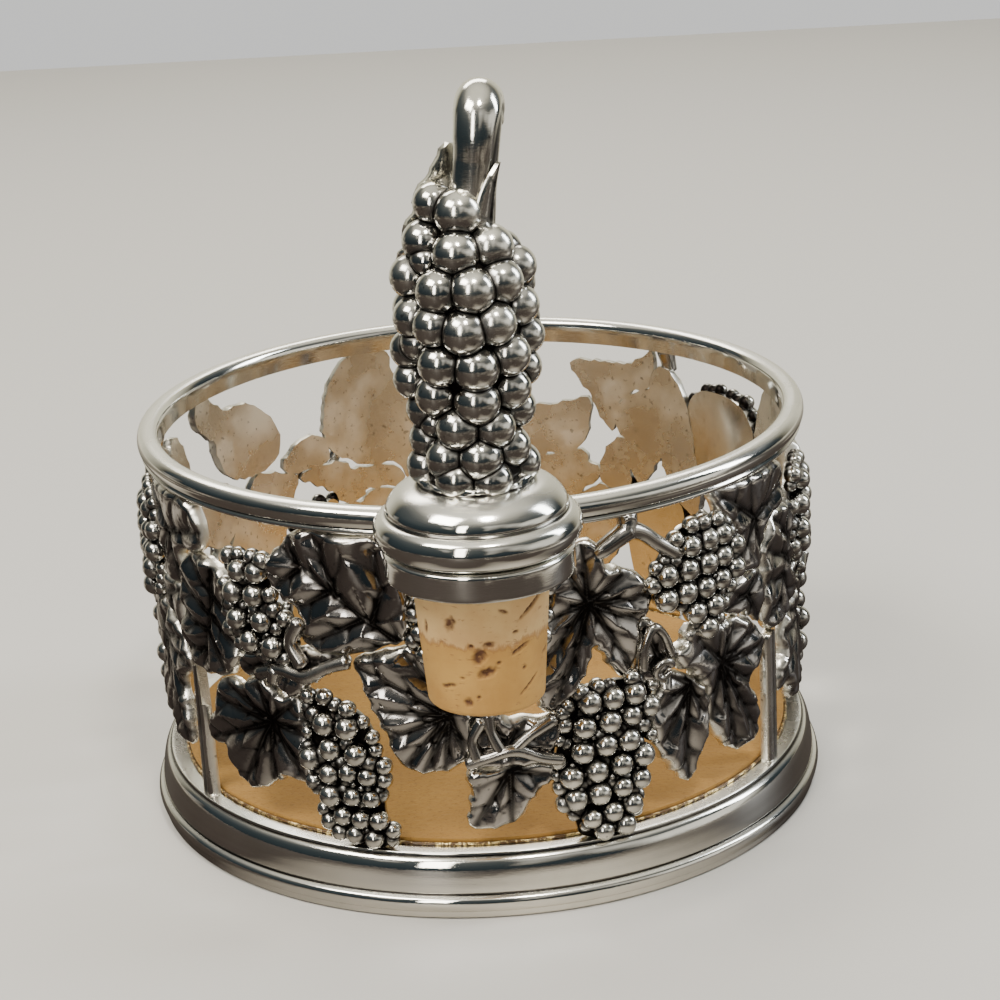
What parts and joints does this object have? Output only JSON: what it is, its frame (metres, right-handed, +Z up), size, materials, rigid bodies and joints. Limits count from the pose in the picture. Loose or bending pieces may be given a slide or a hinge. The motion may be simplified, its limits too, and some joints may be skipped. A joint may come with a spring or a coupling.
{
  "type": "wine bottle coaster",
  "caption": "Round silver-plated bottle coaster with a pierced grape-and-vine gallery, a felt-lined floor and a cork bottle stopper with a grape finial hung in a ring at the rim.",
  "frame": {"origin": "centre of the underside, on the table", "axes": "+Z up through the middle of the well, -Y towards the hanging stopper"},
  "size_m": [0.1312, 0.1623, 0.1516],
  "materials": {
    "polished_silver": "polished silver plate, lightly worn",
    "antique_silver": "cast silver plate with blackened recesses",
    "steel": "plain steel",
    "tan_felt": "short felt, speckled tan",
    "base_felt": "dark green felt",
    "dark_wood": "turned wood, oiled",
    "cork": "natural cork with dark pores, stained lower half"
  },
  "bodies": {
    "coaster": {"top_rim": "polished_silver", "foot_ring": "polished_silver", "base_board": "dark_wood", "floor_lining": "tan_felt", "foot_felt": "base_felt", "leaf_broad_front": "antique_silver", "leaf_folded_front": "antique_silver", "leaf_low_front": "antique_silver", "leaf_side_front": "antique_silver", "leaf_lobed_front": "antique_silver", "leaf_pointed_front": "antique_silver", "leaf_spread_front": "antique_silver", "leaf_top_front": "antique_silver", "leaf_broad_right": "antique_silver", "leaf_folded_right": "antique_silver", "leaf_low_right": "antique_silver", "leaf_side_right": "antique_silver", "leaf_lobed_right": "antique_silver", "leaf_pointed_right": "antique_silver", "leaf_spread_right": "antique_silver", "leaf_folded_left": "antique_silver", "leaf_low_left": "antique_silver", "leaf_lobed_left": "antique_silver", "leaf_pointed_left": "antique_silver", "leaf_spread_left": "antique_silver", "leaf_top_left": "antique_silver", "bunch_small_front": "antique_silver", "bunch_long_front": "antique_silver", "bunch_large_front": "antique_silver", "bunch_high_front": "antique_silver", "bunch_middle_front": "antique_silver", "bunch_small_right": "antique_silver", "bunch_long_right": "antique_silver", "bunch_large_right": "antique_silver", "bunch_middle_right": "antique_silver", "bunch_long_left": "antique_silver", "bunch_large_left": "antique_silver", "bunch_high_left": "antique_silver", "leaf_back_tip": "antique_silver", "leaf_back_wide": "antique_silver", "leaf_back_tall": "antique_silver", "leaf_back_reach": "antique_silver", "bunch_back": "antique_silver", "sprigs_side": "antique_silver", "sprigs_middle": "antique_silver", "leaves_foot": "antique_silver", "tendrils": "antique_silver", "leaves_edge": "antique_silver", "sprigs_back": "antique_silver", "wall_posts": "antique_silver", "vine_forks": "antique_silver", "holder_ring": "polished_silver", "holder_saddle": "polished_silver"},
    "stud": {"stopper_stud": "steel"},
    "stopper": {"stopper_cap": "polished_silver", "stopper_grapes": "antique_silver", "stopper_stem": "antique_silver", "stopper_leaf": "antique_silver", "stopper_sepal": "antique_silver", "stopper_cork": "cork"}
  },
  "joints": [
    {"name": "stopper_lift", "type": "slide", "parent": "coaster", "child": "stud", "axis": [0, 0, 1], "range_m": [0, 0.04]},
    {"name": "stopper_turn", "type": "hinge", "parent": "stud", "child": "stopper", "pos_m": [0, -0.0796, 0.07], "axis": [0, 0, 1], "continuous": true}
  ]
}
